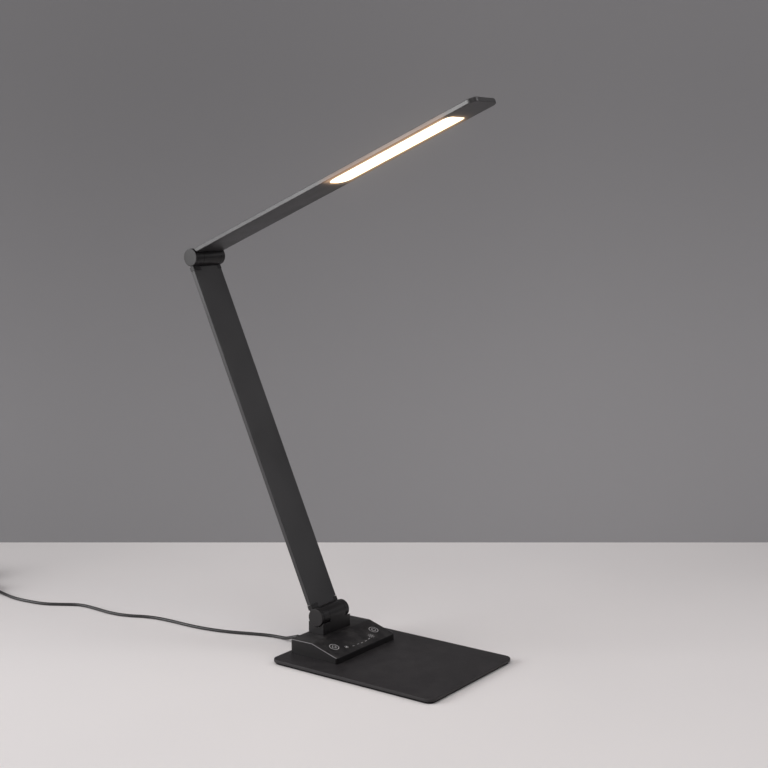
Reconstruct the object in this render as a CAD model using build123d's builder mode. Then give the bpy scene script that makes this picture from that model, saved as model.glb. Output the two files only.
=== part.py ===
from build123d import *
import math
import os

os.makedirs("parts", exist_ok=True)

# ---------------------------------------------------------------------------
# Folding desk lamp: steel plate base with a touch control housing at its rear,
# a flat two-section arm on two friction hinges, and a flat light head.
# Origin: centre of the base plate, on the table. +X runs forward, the way the
# head points, +Y to the lamp's left, +Z up. Millimetres.
# ---------------------------------------------------------------------------

# base plate and pad
PLATE_L = 185.0
PLATE_W = 140.0
PLATE_T = 2.8
PLATE_R = 8.0
PAD_T = 2.2
PAD_INSET = 2.0
Z_PAD = PAD_T                       # underside of the plate
Z_TOP = PAD_T + PLATE_T             # top of the plate

# control housing
HOUS_XR = -87.6                     # rear wall
HOUS_XB = -61.0                     # where the flat top turns into the sloping panel
HOUS_XF = -30.4                     # front wall
HOUS_W = 93.0
HOUS_ZR = 19.2                      # top at the rear
HOUS_ZB = 19.6                      # top at the turn
HOUS_ZF = 10.7                      # top at the front wall
WALL = 2.0

# hinges (both run along Y and have the same make-up)
HINGE_R = 9.0                       # barrel radius
CAP_R = 8.8                         # end caps, a little smaller
NEAR_CAP = (-21.8, -18.6)
NEAR_KNUCKLE = (-18.6, -10.2)
LUG = (-9.9, 14.4)
FAR_KNUCKLE = (14.7, 18.8)
FAR_CAP = (18.8, 20.8)
PIN_R = 3.0
LUG_BORE_R = 3.05                   # running fit on the bolt's shoulder
THREAD_R = 2.5

# lower hinge, arm, elbow
H = (-76.0, 35.6)                   # lower hinge axis, X and Z
ARM_LEAN = 24.65                    # degrees back from upright
ARM_HH = 379.0                      # hinge to hinge
BAR_W = 40.0
BAR_T = 5.2
BAR_BACK = 1.6                      # the bar's front face lies this far behind the axis line
BAR_WALL = 1.2
BAR_END = 9.3                       # the bars' ends are hollowed to this radius round each axis
BLOCK_START = 8.7                   # the knuckles' corner blocks begin here
BLOCK_END = 13.2                    # the knuckles' corner blocks reach this far
TONGUE_END = 38.0

# head
HEAD_RISE = 22.68                   # degrees above level
HEAD_L = 363.0                      # elbow axis to the tip
HEAD_START = 9.2                    # where the bar meets the lug's neck
HEAD_U = 2.6                        # underside, above the elbow axis
HEAD_T = 4.4
HEAD_R = 7.0                        # tip corners in plan
PANEL_S0 = 182.0                    # light opening, from the elbow axis
PANEL_S1 = 331.3
PANEL_W = 30.4
PANEL_R0 = 13.0
PANEL_R1 = 7.0
POCKET_D = 3.3
DIFF_DEPTH = 0.85                   # how far the diffuser sits inside the opening

# mains-side cord and plug-in adapter
CORD_D = 3.2
CORD_Z = CORD_D / 2 + 0.05          # centre of a cord that lies on the table
EXIT_Y = -12.0
EXIT_Z = 8.2
COIL_C = (-522.0, -88.7)
COIL_R = (14.6, 17.8, 21.0)         # radii of the three turns side by side
COIL_LAYERS = 4
ADAPT_Y = -67.7
ADAPT_Z = 13.0
ADAPT_X0 = -560.0                   # cord end of the adapter
ADAPT_SPLIT = -588.0
ADAPT_X1 = -612.0                   # pin face
ADAPT_W = 38.0
ADAPT_H = 26.0

# --- directions --------------------------------------------------------------
_a = math.radians(ARM_LEAN)
_h = math.radians(HEAD_RISE)
DA = (-math.sin(_a), math.cos(_a))          # along the arm, X and Z
NA = (math.cos(_a), math.sin(_a))           # out of the arm's front face
DH = (math.cos(_h), math.sin(_h))           # along the head
NH = (-math.sin(_h), math.cos(_h))          # out of the head's top face
E = (H[0] + ARM_HH * DA[0], H[1] + ARM_HH * DA[1])   # elbow axis


def arm_xz(s, n):
    return (H[0] + DA[0] * s + NA[0] * n, H[1] + DA[1] * s + NA[1] * n)


def head_xz(s, t):
    return (E[0] + DH[0] * s + NH[0] * t, E[1] + DH[1] * s + NH[1] * t)


def side(y):
    """Plane across Y: its x and y are the lamp's X and Z, and it faces -Y."""
    return Plane(origin=(0, y, 0), x_dir=(1, 0, 0), z_dir=(0, -1, 0))


def arm_across(s):
    """Plane across the arm: its x is Y and its y points out of the arm's rear."""
    x, z = arm_xz(s, 0)
    return Plane(origin=(x, 0, z), x_dir=(0, 1, 0), z_dir=(DA[0], 0, DA[1]))


def arm_face(s, y, n):
    """Plane parallel to the arm's faces, facing its front."""
    x, z = arm_xz(s, n)
    return Plane(origin=(x, y, z), x_dir=(DA[0], 0, DA[1]), z_dir=(NA[0], 0, NA[1]))


def head_face(t, s=0.0, y=0.0):
    """Plane parallel to the head's faces: its x runs along the head, its y is Y."""
    x, z = head_xz(s, t)
    return Plane(origin=(x, y, z), x_dir=(DH[0], 0, DH[1]), z_dir=(NH[0], 0, NH[1]))


LOW = (Align.CENTER, Align.CENTER, Align.MIN)
N_FRONT = -BAR_BACK
N_REAR = -BAR_BACK - BAR_T

# ===========================================================================
# BASE
# ===========================================================================

# screw places in the plate
HOUS_SCREWS = [(-80.5, -38.5), (-80.5, 38.5), (-48.0, -39.0), (-48.0, 39.0)]
BRACKET_SCREWS = [(-73.2, -13.0), (-73.2, 13.0)]

with BuildPart() as base_pad:
    with BuildSketch(Plane.XY):
        RectangleRounded(PLATE_L - 2 * PAD_INSET, PLATE_W - 2 * PAD_INSET, PLATE_R - PAD_INSET)
    extrude(amount=PAD_T)
base_pad.part.label = "base_pad"
export_step(base_pad.part, "parts/base_pad.step")

with BuildPart() as base_plate:
    with BuildSketch(Plane.XY.offset(Z_PAD)):
        RectangleRounded(PLATE_L, PLATE_W, PLATE_R)
    extrude(amount=PLATE_T)
    chamfer(base_plate.faces().sort_by(Axis.Z)[-1].edges(), 0.45)
    # countersunk holes from below: four for the housing, two for the bracket
    with Locations([(x, y, Z_PAD) for x, y in HOUS_SCREWS]):
        Cylinder(1.6, PLATE_T, align=LOW, mode=Mode.SUBTRACT)
        Cone(2.95, 1.6, 1.35, align=LOW, mode=Mode.SUBTRACT)
    with Locations([(x, y, Z_PAD) for x, y in BRACKET_SCREWS]):
        Cylinder(2.15, PLATE_T, align=LOW, mode=Mode.SUBTRACT)
        Cone(4.05, 2.15, 1.9, align=LOW, mode=Mode.SUBTRACT)
base_plate.part.label = "base_plate"
export_step(base_plate.part, "parts/base_plate.step")

with BuildPart() as housing_screws:
    with Locations([(x, y, Z_PAD) for x, y in HOUS_SCREWS]):
        Cone(2.9, 1.45, 1.3, align=LOW)
        Cylinder(1.45, 8.3, align=LOW)
        Cylinder(0.9, 0.8, align=LOW, mode=Mode.SUBTRACT)
housing_screws.part.label = "housing_screws"
export_step(housing_screws.part, "parts/housing_screws.step")

with BuildPart() as bracket_screws:
    with Locations([(x, y, Z_PAD) for x, y in BRACKET_SCREWS]):
        Cone(4.0, 1.95, 1.85, align=LOW)
        Cylinder(1.95, 11.8, align=LOW)
        Cylinder(1.3, 1.2, align=LOW, mode=Mode.SUBTRACT)
bracket_screws.part.label = "bracket_screws"
export_step(bracket_screws.part, "parts/bracket_screws.step")

# hinge bracket: foot on the plate, saddle through the housing's top with two
# hollows where the knuckles turn, one lug between them
SADDLE_NEAR = -20.5
SADDLE_FAR = 22.0
SADDLE_TOP = 30.6
SADDLE_X0 = -85.9
SADDLE_X1 = -67.0
HOLLOW_R = 9.4
with BuildPart() as base_bracket:
    # saddle
    with BuildSketch(side(SADDLE_FAR)):
        with BuildLine():
            Polyline((-79.5, Z_TOP), (SADDLE_X1, Z_TOP), (SADDLE_X1, SADDLE_TOP), (SADDLE_X0, SADDLE_TOP),
                     (SADDLE_X0, 15.4), (-79.5, 15.4), close=True)
        make_face()
    extrude(amount=SADDLE_FAR - SADDLE_NEAR)
    fillet(base_bracket.edges().filter_by(Axis.Z).filter_by(lambda e: e.center().Z > 15), 0.8)
    for y1, depth in ((LUG[0], 14.0), (LUG[1] + 14.0, 14.0)):
        with BuildSketch(side(y1)):
            with Locations((H[0], H[1])):
                Circle(HOLLOW_R)
        extrude(amount=depth, mode=Mode.SUBTRACT)
    # top edges broken a little
    chamfer([e for e in base_bracket.edges().filter_by(Axis.Y) if abs(e.center().Z - SADDLE_TOP) < 0.01
             and min(abs(e.center().X - SADDLE_X0), abs(e.center().X - SADDLE_X1)) < 0.01], 0.3)
    # lug: upright sides, rounded top
    with BuildSketch(side(LUG[1])):
        with Locations((H[0], H[1])):
            Circle(HINGE_R)
        with BuildLine():
            Polyline((H[0] - HINGE_R, 20.0), (H[0] + HINGE_R, 20.0), (H[0] + HINGE_R, H[1]),
                     (H[0] - HINGE_R, H[1]), close=True)
        make_face()
    extrude(amount=LUG[1] - LUG[0])
    # bolt bore and the two washer seats
    with BuildSketch(side(LUG[1])):
        with Locations((H[0], H[1])):
            Circle(LUG_BORE_R)
    extrude(amount=LUG[1] - LUG[0], mode=Mode.SUBTRACT)
    with BuildSketch(side(LUG[1])):
        with Locations((H[0], H[1])):
            Circle(6.6)
    extrude(amount=0.6, mode=Mode.SUBTRACT)
    with BuildSketch(side(LUG[0] + 0.6)):
        with Locations((H[0], H[1])):
            Circle(6.6)
    extrude(amount=0.6, mode=Mode.SUBTRACT)
    # screw holes from below
    with Locations([(x, y, Z_TOP) for x, y in BRACKET_SCREWS]):
        Cylinder(1.98, 10.0, align=LOW, mode=Mode.SUBTRACT)
base_bracket.part.label = "base_bracket"
export_step(base_bracket.part, "parts/base_bracket.step")

# ---- control housing --------------------------------------------------------
SLOPE = (HOUS_ZB - HOUS_ZF) / (HOUS_XF - HOUS_XB)      # fall of the panel per mm
SLOPE_A = math.degrees(math.atan(SLOPE))


def panel_z(x):
    return HOUS_ZB - SLOPE * (x - HOUS_XB)


with BuildPart() as control_housing:
    with BuildSketch(side(HOUS_W / 2)) as hous_profile:
        with BuildLine():
            Polyline((HOUS_XF, Z_TOP), (HOUS_XR, Z_TOP), (HOUS_XR, HOUS_ZR), (HOUS_XB, HOUS_ZB),
                     (HOUS_XF, HOUS_ZF), close=True)
        make_face()
        fillet(hous_profile.vertices().sort_by(Axis.Y)[-1], 9.0)      # the turn from the flat top to the panel
    extrude(amount=HOUS_W)
    fillet(control_housing.edges().filter_by(Axis.Z).sort_by(Axis.X)[:2], 3.0)
    fillet(control_housing.edges().filter_by(Axis.Z).sort_by(Axis.X)[-2:], 2.5)
    rim = [e for e in control_housing.edges()
           if e.bounding_box().min.Z > HOUS_ZF - 0.05
           and (abs(e.center().Y) > HOUS_W / 2 - 1.6 or e.center().X < HOUS_XR + 2.0)]
    fillet(rim, 0.5)
    # cavity, open at the bottom
    with BuildSketch(side(HOUS_W / 2 - WALL)):
        with BuildLine():
            Polyline((HOUS_XR + WALL, Z_TOP), (HOUS_XR + WALL, HOUS_ZR - WALL), (HOUS_XB - 0.3, HOUS_ZB - WALL - 0.05),
                     (HOUS_XF - WALL, panel_z(HOUS_XF - WALL) - 2.08), (HOUS_XF - WALL, Z_TOP), close=True)
        make_face()
    extrude(amount=HOUS_W - 2 * WALL, mode=Mode.SUBTRACT)
    # screw bosses
    with BuildSketch(Plane.XY.offset(Z_TOP)):
        with Locations(HOUS_SCREWS[:2]):
            Circle(3.6)
    extrude(amount=13.0)
    with BuildSketch(Plane.XY.offset(Z_TOP)):
        with Locations(HOUS_SCREWS[2:]):
            Circle(3.6)
    extrude(amount=9.6)
    with Locations([(x, y, Z_TOP) for x, y in HOUS_SCREWS]):
        Cylinder(1.48, 6.0, align=LOW, mode=Mode.SUBTRACT)
    # opening for the saddle
    with BuildSketch(Plane.XY.offset(12.0)):
        with Locations(((SADDLE_X0 + SADDLE_X1) / 2, (SADDLE_NEAR + SADDLE_FAR) / 2)):
            RectangleRounded(SADDLE_X1 - SADDLE_X0 + 0.6, SADDLE_FAR - SADDLE_NEAR + 0.6, 1.0)
    extrude(amount=10.0, mode=Mode.SUBTRACT)
    # cord hole in the rear wall
    with BuildSketch(Plane(origin=(HOUS_XR - 1.0, EXIT_Y, EXIT_Z), x_dir=(0, 1, 0), z_dir=(1, 0, 0))):
        Circle(2.35)
    extrude(amount=WALL + 2.0, mode=Mode.SUBTRACT)
control_housing.part.label = "control_housing"
export_step(control_housing.part, "parts/control_housing.step")

# touch board, parallel to the sloping panel, and the foam contact pads on it
PAD_GAP = 2.15                       # panel surface down to the pads
_sl = math.radians(SLOPE_A)
PANEL_MID_X = -47.0
BOARD_ORG = (PANEL_MID_X, 0.0, panel_z(PANEL_MID_X))


def panel_plane(depth):
    """Plane parallel to the sloping panel, depth below its surface, facing up."""
    return Plane(origin=(BOARD_ORG[0] - depth * math.sin(_sl), 0.0, BOARD_ORG[2] - depth * math.cos(_sl)),
                 x_dir=(math.cos(_sl), 0, -math.sin(_sl)), z_dir=(math.sin(_sl), 0, math.cos(_sl)))


PAD_SPOTS = [(1.4, -31.2), (7.0, -19.0), (10.2, -11.2), (10.6, -2.0), (10.6, 7.0), (9.4, 16.3), (7.4, 23.7), (0.8, 33.0)]
with BuildPart() as touch_pads:
    with BuildSketch(panel_plane(PAD_GAP + 0.6)):
        with Locations(PAD_SPOTS):
            Circle(1.4)
    extrude(amount=0.6)
touch_pads.part.label = "touch_pads"
export_step(touch_pads.part, "parts/touch_pads.step")

with BuildPart() as touch_board:
    with BuildSketch(panel_plane(PAD_GAP + 0.6 + 1.0)):
        with Locations((1.6, 0)):
            Rectangle(20.8, 70.2)
    extrude(amount=1.0)
    with BuildSketch(panel_plane(PAD_GAP + 0.6 + 1.0)):     # controller chip and connector underneath
        with Locations((-4.6, 8.0)):
            Rectangle(6.0, 6.0)
        with Locations((-4.6, -14.0)):
            Rectangle(5.0, 8.0)
    extrude(amount=-1.4)
touch_board.part.label = "touch_board"
export_step(touch_board.part, "parts/touch_board.step")

# ---- strain relief in the rear wall -----------------------------------------
RELIEF_TIP_X = HOUS_XR - 20.0
with BuildPart() as cord_grommet:
    # section turned about the cord's line
    with BuildSketch(Plane(origin=(0, EXIT_Y, EXIT_Z), x_dir=(1, 0, 0), z_dir=(0, -1, 0))):
        with BuildLine():
            Polyline((HOUS_XR + WALL + 1.6, 1.15), (HOUS_XR + WALL + 1.6, 3.1), (HOUS_XR + WALL + 0.05, 3.1),
                     (HOUS_XR + WALL + 0.05, 2.3), (HOUS_XR - 0.05, 2.3), (HOUS_XR - 0.05, 2.5),
                     (HOUS_XR - 3.0, 2.5), (RELIEF_TIP_X, 1.95), (RELIEF_TIP_X, 0.0),
                     (HOUS_XR - 4.0, 0.0), (HOUS_XR - 4.0, 1.15), close=True)
        make_face()
    revolve(axis=Axis((0, EXIT_Y, EXIT_Z), (1, 0, 0)))
    # moulded ribs: shallow grooves round the taper
    for gx in (4.6, 7.4, 10.2, 13.0, 15.8):
        with BuildSketch(Plane(origin=(HOUS_XR - gx, EXIT_Y, EXIT_Z), x_dir=(0, 1, 0), z_dir=(-1, 0, 0))):
            Circle(3.2)
            Circle(2.05 - 0.02 * gx, mode=Mode.SUBTRACT)
        extrude(amount=0.8, mode=Mode.SUBTRACT)
cord_grommet.part.label = "cord_grommet"
export_step(cord_grommet.part, "parts/cord_grommet.step")

# lead from the strain relief round the bracket's foot to the touch board
LEAD_D = 2.0
lead_pts = [(HOUS_XR + WALL + 1.62, EXIT_Y, EXIT_Z), (-82.3, -14.2, 7.8), (-81.6, -21.5, 7.2), (-77.0, -26.5, 6.8), (-70.0, -27.5, 6.9),
            (-63.0, -24.5, 7.6), (-58.5, -20.5, 8.6)]


def fillet_radii(pts):
    """Each corner's arc radius: 0.45 of its shorter run over the tangent of half the turn."""
    v = [Vector(*p) for p in pts]
    out = []
    for i in range(1, len(v) - 1):
        a, b = v[i] - v[i - 1], v[i + 1] - v[i]
        turn = math.radians(a.get_angle(b))
        out.append(0.45 * min(a.length, b.length) / math.tan(turn / 2))
    return out


with BuildPart() as power_lead:
    with BuildLine() as lead_path:
        FilletPolyline(*lead_pts, radius=fillet_radii(lead_pts))
    with BuildSketch(Plane(origin=lead_path.line @ 0, z_dir=lead_path.line % 0)):
        Circle(LEAD_D / 2)
    sweep()
power_lead.part.label = "power_lead"
export_step(power_lead.part, "parts/power_lead.step")

# ===========================================================================
# HINGE HARDWARE (lower hinge at H, elbow at E)
# ===========================================================================


def washer_sketch(c, ro, ri):
    with Locations((c[0], c[1])):
        Circle(ro)
        Circle(ri, mode=Mode.SUBTRACT)


for name, c in (("lower_friction_washers", H), ("upper_friction_washers", E)):
    with BuildPart() as washers:
        with BuildSketch(side(LUG[0] + 0.6)):
            washer_sketch(c, 6.5, 3.15)
        extrude(amount=0.88)
        with BuildSketch(side(LUG[1] + 0.28)):
            washer_sketch(c, 6.5, 3.15)
        extrude(amount=0.88)
    washers.part.label = name
    export_step(washers.part, "parts/" + name + ".step")

with BuildPart() as hinge_bolts:
    for c in (H, E):
        with BuildSketch(side(16.0)):                      # shoulder
            with Locations((c[0], c[1])):
                Circle(PIN_R)
        extrude(amount=16.0 + 14.6)
        with BuildSketch(side(-14.6)):                     # head
            with Locations((c[0], c[1])):
                Circle(5.0)
        extrude(amount=2.8)
        with BuildSketch(side(18.7)):                      # threaded end
            with Locations((c[0], c[1])):
                Circle(THREAD_R)
        extrude(amount=2.7)
        with BuildSketch(side(-15.8)):                     # hex socket
            with Locations((c[0], c[1])):
                RegularPolygon(radius=1.5, side_count=6, major_radius=False)
        extrude(amount=1.6, mode=Mode.SUBTRACT)
hinge_bolts.part.label = "hinge_bolts"
export_step(hinge_bolts.part, "parts/hinge_bolts.step")

with BuildPart() as hinge_nuts:
    for c in (H, E):
        with BuildSketch(side(18.7)):
            with Locations((c[0], c[1])):
                RegularPolygon(radius=4.0, side_count=6, major_radius=False)
                Circle(THREAD_R + 0.02, mode=Mode.SUBTRACT)
        extrude(amount=2.6)
hinge_nuts.part.label = "hinge_nuts"
export_step(hinge_nuts.part, "parts/hinge_nuts.step")

with BuildPart() as disc_springs:
    for c in (H, E):
        with BuildSketch(side(-13.8)):
            washer_sketch(c, 5.0, 3.12)
        extrude(amount=0.78)
disc_springs.part.label = "disc_springs"
export_step(disc_springs.part, "parts/disc_springs.step")

with BuildPart() as near_hinge_caps:
    for c in (H, E):
        with BuildSketch(side(NEAR_CAP[1])):
            with Locations((c[0], c[1])):
                Circle(CAP_R)
        extrude(amount=NEAR_CAP[1] - NEAR_CAP[0])
        with BuildSketch(side(NEAR_CAP[1] + 1.0)):
            with Locations((c[0], c[1])):
                Circle(5.45)
        extrude(amount=1.0)
    fillet([e for e in near_hinge_caps.edges().filter_by(GeomType.CIRCLE)
            if abs(e.center().Y - NEAR_CAP[0]) < 0.01], 0.6)
near_hinge_caps.part.label = "near_hinge_caps"
export_step(near_hinge_caps.part, "parts/near_hinge_caps.step")

with BuildPart() as far_hinge_caps:
    for c in (H, E):
        with BuildSketch(side(FAR_CAP[1])):
            with Locations((c[0], c[1])):
                Circle(CAP_R)
        extrude(amount=FAR_CAP[1] - FAR_CAP[0])
    fillet([e for e in far_hinge_caps.edges().filter_by(GeomType.CIRCLE)
            if abs(e.center().Y - FAR_CAP[1]) < 0.01], 0.6)
far_hinge_caps.part.label = "far_hinge_caps"
export_step(far_hinge_caps.part, "parts/far_hinge_caps.step")

# ===========================================================================
# ARM
# ===========================================================================

ARM_SCREWS = [(26.0, -12.5), (26.0, 14.0), (ARM_HH - 26.0, -12.5), (ARM_HH - 26.0, 14.0)]


def quad(s0, s1, n0, n1, f):
    """Four corners in X and Z of a block given along and across the arm or head."""
    return [f(s0, n0), f(s1, n0), f(s1, n1), f(s0, n1)]


BAR_ROOT = 5.8                       # the bar's length before its ends are hollowed
with BuildPart() as arm_bar:
    with BuildSketch(arm_across(BAR_ROOT)):
        with Locations((0, BAR_BACK + BAR_T / 2)):
            RectangleRounded(BAR_W, BAR_T, 1.0)
            RectangleRounded(BAR_W - 2 * BAR_WALL, BAR_T - 2 * BAR_WALL, 0.4, mode=Mode.SUBTRACT)
    extrude(amount=ARM_HH - 2 * BAR_ROOT)
    # ends hollowed round the barrels
    for c in (H, E):
        with BuildSketch(side(26.0)):
            with Locations((c[0], c[1])):
                Circle(BAR_END)
        extrude(amount=52.0, mode=Mode.SUBTRACT)
    # corners cut away for the knuckles' blocks, at both ends
    for s0, s1 in ((BAR_ROOT - 1.8, BLOCK_END + 0.25), (ARM_HH - BLOCK_END - 0.25, ARM_HH - BAR_ROOT + 1.8)):
        for y1, w in ((LUG[0] - 0.15, 15.0), (29.0, 29.0 - LUG[1] - 0.15)):
            with BuildSketch(side(y1)):
                with BuildLine():
                    Polyline(*quad(s0, s1, N_FRONT + 1.0, N_REAR - 1.0, arm_xz), close=True)
                make_face()
            extrude(amount=w, mode=Mode.SUBTRACT)
    # countersunk screw holes in the rear face
    for s, y in ARM_SCREWS:
        with Locations(arm_face(s, y, N_REAR)):
            Cylinder(1.55, BAR_WALL + 0.05, align=LOW, mode=Mode.SUBTRACT)
            Cone(2.7, 1.55, 1.15, align=LOW, mode=Mode.SUBTRACT)
arm_bar.part.label = "arm_bar"
export_step(arm_bar.part, "parts/arm_bar.step")

with BuildPart() as arm_screws:
    for s, y in ARM_SCREWS:
        with Locations(arm_face(s, y, N_REAR)):
            Cone(2.65, 1.45, 1.1, align=LOW)
            Cylinder(1.45, 3.6, align=LOW)
        with BuildSketch(arm_face(s, y, N_REAR)):          # hexagon socket
            RegularPolygon(radius=0.9, side_count=6, major_radius=False)
        extrude(amount=0.8, mode=Mode.SUBTRACT)
arm_screws.part.label = "arm_screws"
export_step(arm_screws.part, "parts/arm_screws.step")

# the two forks: knuckles with their corner blocks, and a tongue inside the bar
for name, c, flip in (("lower_fork", H, False), ("upper_fork", E, True)):

    def at(s, n, _flip=flip):
        return arm_xz(ARM_HH - s, n) if _flip else arm_xz(s, n)

    with BuildPart() as fork:
        for k0, k1, b0, b1 in ((NEAR_KNUCKLE[0], NEAR_KNUCKLE[1], -20.0, NEAR_KNUCKLE[1] - 0.15),
                               (FAR_KNUCKLE[0], FAR_KNUCKLE[1], FAR_KNUCKLE[0] + 0.15, 20.0)):
            with BuildSketch(side(k1)):                    # knuckle and neck
                with Locations((c[0], c[1])):
                    Circle(HINGE_R)
                with BuildLine():
                    Polyline(*quad(0.0, BAR_END, N_FRONT - 0.05, N_REAR + 0.05, at), close=True)
                make_face()
            extrude(amount=k1 - k0)
            with BuildSketch(side(b1)):                    # corner block, flush with the bar
                with BuildLine():
                    Polyline(*quad(BLOCK_START, BLOCK_END, N_FRONT - 0.05, N_REAR + 0.05, at), close=True)
                make_face()
            extrude(amount=b1 - b0)
        with BuildSketch(side(18.5)):                      # tongue
            with BuildLine():
                Polyline(*quad(9.7, TONGUE_END, -2.9, -5.5, at), close=True)
            make_face()
        extrude(amount=37.0)
        with BuildSketch(side(6.5)):                       # slot for the lead
            with BuildLine():
                Polyline(*quad(17.0, TONGUE_END + 1.0, -2.0, -6.5, at), close=True)
            make_face()
        extrude(amount=9.0, mode=Mode.SUBTRACT)
        # bolt seat, spring seat and bores
        with BuildSketch(side(FAR_KNUCKLE[1])):
            with Locations((c[0], c[1])):
                Circle(PIN_R + 0.02)
        extrude(amount=FAR_KNUCKLE[1] - NEAR_KNUCKLE[0], mode=Mode.SUBTRACT)
        with BuildSketch(side(-13.8)):
            with Locations((c[0], c[1])):
                Circle(5.5)
        extrude(amount=NEAR_KNUCKLE[1] - NEAR_KNUCKLE[0], mode=Mode.SUBTRACT)
        with BuildSketch(side(FAR_KNUCKLE[1])):            # nut pocket
            with Locations((c[0], c[1])):
                RegularPolygon(radius=4.06, side_count=6, major_radius=False)
        extrude(amount=2.7, mode=Mode.SUBTRACT)
        for s, y in ARM_SCREWS:                            # tapped holes in the tongue
            if (s > ARM_HH / 2) == flip:
                with Locations(arm_face(s, y, -5.6)):
                    Cylinder(1.48, 3.0, align=LOW, mode=Mode.SUBTRACT)
    fork.part.label = name
    export_step(fork.part, "parts/" + name + ".step")

with BuildPart() as arm_lead:
    with BuildSketch(arm_across(TONGUE_END + 4.0)):
        with Locations((2.0, BAR_BACK + BAR_T / 2)):
            SlotOverall(4.4, 2.2)
    extrude(amount=ARM_HH - 2 * (TONGUE_END + 4.0))
arm_lead.part.label = "arm_lead"
export_step(arm_lead.part, "parts/arm_lead.step")

# ===========================================================================
# HEAD
# ===========================================================================

HEAD_TOP = HEAD_U + HEAD_T
LUG_TONGUE_END = 34.0
HEAD_SCREWS = [(24.0, -4.0), (24.0, 9.0)]
T_POCKET = HEAD_U + POCKET_D
T_DIFF = HEAD_U + DIFF_DEPTH


def panel_outline(shrink=0.0):
    """Light opening in plan: rounded at both ends, rounder at the elbow end."""
    s0, s1, w = PANEL_S0 + shrink, PANEL_S1 - shrink, PANEL_W / 2 - shrink
    r0, r1 = PANEL_R0 - shrink, PANEL_R1 - shrink
    with BuildLine() as outline:
        Line((s0 + r0, -w), (s1 - r1, -w))
        ThreePointArc((s1 - r1, -w), (s1 - r1 + r1 * math.sin(math.pi / 4), -w + r1 - r1 * math.cos(math.pi / 4)), (s1, -w + r1))
        Line((s1, -w + r1), (s1, w - r1))
        ThreePointArc((s1, w - r1), (s1 - r1 + r1 * math.sin(math.pi / 4), w - r1 + r1 * math.cos(math.pi / 4)), (s1 - r1, w))
        Line((s1 - r1, w), (s0 + r0, w))
        ThreePointArc((s0 + r0, w), (s0 + r0 - r0 * math.sin(math.pi / 4), w - r0 + r0 * math.cos(math.pi / 4)), (s0, w - r0))
        Line((s0, w - r0), (s0, -w + r0))
        ThreePointArc((s0, -w + r0), (s0 + r0 - r0 * math.sin(math.pi / 4), -w + r0 - r0 * math.cos(math.pi / 4)), (s0 + r0, -w))
    make_face(outline.edges())


HEAD_ROOT = 5.5                      # the bar's length before its end is hollowed
with BuildPart() as head_bar:
    with BuildSketch(head_face(HEAD_U)) as head_plan:
        with Locations(((HEAD_ROOT + HEAD_L) / 2, 0)):
            Rectangle(HEAD_L - HEAD_ROOT, BAR_W)
        fillet(head_plan.vertices().group_by(Axis.X)[-1], HEAD_R)     # the tip's corners only
    extrude(amount=HEAD_T)
    # long edges and the tip slightly rounded, top and bottom
    outer = [e for e in head_bar.edges()
             if e.length > 5 and not (e.geom_type == GeomType.LINE and e.length < BAR_W + 1
                                      and abs((e.center() - Vector(head_xz(HEAD_START, 0)[0], 0, head_xz(HEAD_START, 0)[1])).length) < 12)]
    fillet(outer, 0.8)
    # end hollowed round the barrel, and cut square where the lug's neck joins
    with BuildSketch(side(26.0)):
        with Locations((E[0], E[1])):
            Circle(BAR_END)
    extrude(amount=52.0, mode=Mode.SUBTRACT)
    with BuildSketch(side(LUG[1] + 0.15)):
        with BuildLine():
            Polyline(*quad(HEAD_ROOT - 2.0, HEAD_START, HEAD_U - 1.0, HEAD_TOP + 1.0, head_xz), close=True)
        make_face()
    extrude(amount=LUG[1] - LUG[0] + 0.3, mode=Mode.SUBTRACT)
    # pocket for the light panel, open below
    with BuildSketch(head_face(HEAD_U)):
        panel_outline()
    extrude(amount=POCKET_D, mode=Mode.SUBTRACT)
    # channel for the lead and seat for the lug's tongue
    with BuildSketch(head_face(HEAD_U + 1.4)):
        with Locations(((HEAD_START + PANEL_S0) / 2, 2.0)):
            Rectangle(PANEL_S0 - HEAD_START + 8.0, 8.0)
    extrude(amount=1.7, mode=Mode.SUBTRACT)
    with BuildSketch(head_face(HEAD_U + 0.9)):
        with Locations(((HEAD_START - 2.0 + LUG_TONGUE_END + 0.2) / 2, 2.25)):
            Rectangle(LUG_TONGUE_END + 0.2 - HEAD_START + 2.0, 23.6)
    extrude(amount=2.6, mode=Mode.SUBTRACT)
    for s, y in HEAD_SCREWS:                               # countersunk from the top
        with Locations(head_face(HEAD_U + 3.3, s, y)):
            Cylinder(1.55, 2.0, align=LOW, mode=Mode.SUBTRACT)
        with Locations(head_face(HEAD_TOP - 0.85, s, y)):
            Cone(1.55, 2.5, 0.85, align=LOW, mode=Mode.SUBTRACT)
head_bar.part.label = "head_bar"
export_step(head_bar.part, "parts/head_bar.step")

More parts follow.
